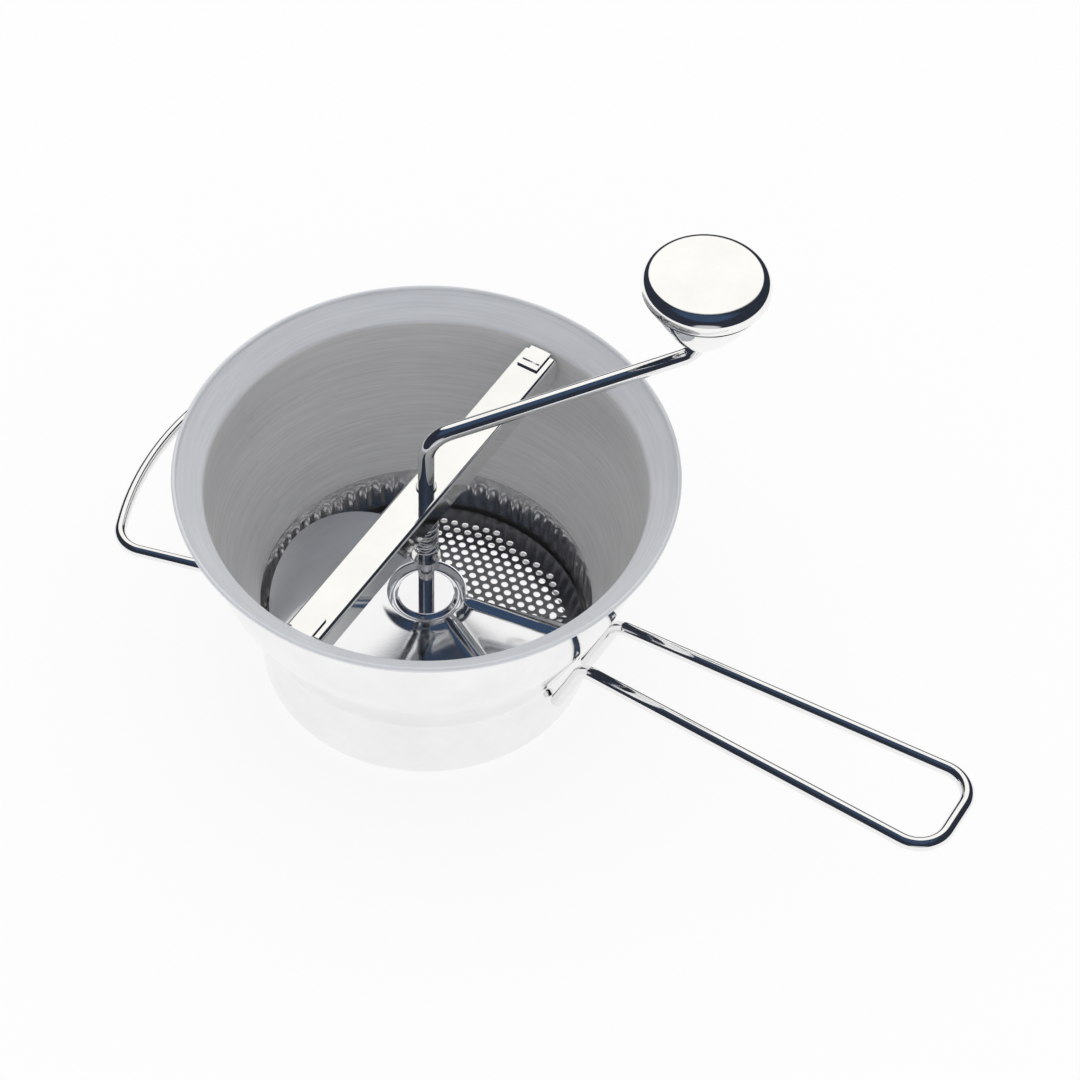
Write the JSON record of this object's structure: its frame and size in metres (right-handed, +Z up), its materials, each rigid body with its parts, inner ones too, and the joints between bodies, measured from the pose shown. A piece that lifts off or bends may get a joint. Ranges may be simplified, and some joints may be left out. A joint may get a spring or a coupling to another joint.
{
  "type": "hand cranked food mill",
  "caption": "Round steel food mill: bowl with loose sieve, sprung rotor on a cranked shaft under a crossbar, wire handles and a turning knob.",
  "frame": {"origin": "on the bowl's axis, in the plane of the foot it stands on", "axes": "+Z up along the bowl's axis, +X along the long handle, crossbar along Y"},
  "size_m": [0.4429, 0.2629, 0.214],
  "materials": {
    "brushed_bowl_steel": "brushed inside, polished outside",
    "sieve_steel": "satin",
    "bar_steel": "polished",
    "rotor_steel": "polished",
    "knob_steel": "polished",
    "knob_nylon": "plain",
    "spring_steel": "bright drawn",
    "wire_steel": "polished",
    "small_steel_parts": "plain turned"
  },
  "bodies": {
    "pot": {"bowl": "brushed_bowl_steel", "sieve_disc": "sieve_steel", "sieve_bush": "small_steel_parts", "long_handle": "wire_steel", "helper_handle": "wire_steel", "crossbar": "bar_steel", "crossbar_bush": "small_steel_parts", "bush_lock_ring": "small_steel_parts", "end_clip": "spring_steel", "upper_washer": "small_steel_parts", "pressure_spring": "spring_steel"},
    "latch": {"latch_strip": "spring_steel"},
    "spring_seat": {"lower_washer": "small_steel_parts"},
    "crank": {"crank_rod": "wire_steel", "rotor_blade": "rotor_steel", "rotor_hub": "rotor_steel", "hub_rivets": "rotor_steel", "hub_pin": "small_steel_parts", "spring_pin": "small_steel_parts", "knob_retainer": "small_steel_parts", "knob_stop_ring": "small_steel_parts"},
    "knob": {"knob_cap": "knob_steel", "knob_cup": "knob_steel", "knob_bush": "knob_nylon"}
  },
  "joints": [
    {"name": "latch_slide", "type": "slide", "parent": "pot", "child": "latch", "axis": [0, -1, 0], "range_m": [0, 0.0026], "stiffness_N_per_m": 800, "springref_m": -0.002},
    {"name": "rotor_lift", "type": "slide", "parent": "pot", "child": "spring_seat", "axis": [0, 0, 1], "range_m": [0, 0.005], "stiffness_N_per_m": 6800, "springref_m": -0.003, "deforming": ["pressure_spring"]},
    {"name": "crank_turn", "type": "hinge", "parent": "spring_seat", "child": "crank", "pos_m": [0, 0, 0.12], "axis": [0, 0, 1], "continuous": true},
    {"name": "knob_spin", "type": "hinge", "parent": "crank", "child": "knob", "pos_m": [0.08198, 0.11201, 0.2], "axis": [0, 0, 1], "continuous": true}
  ]
}
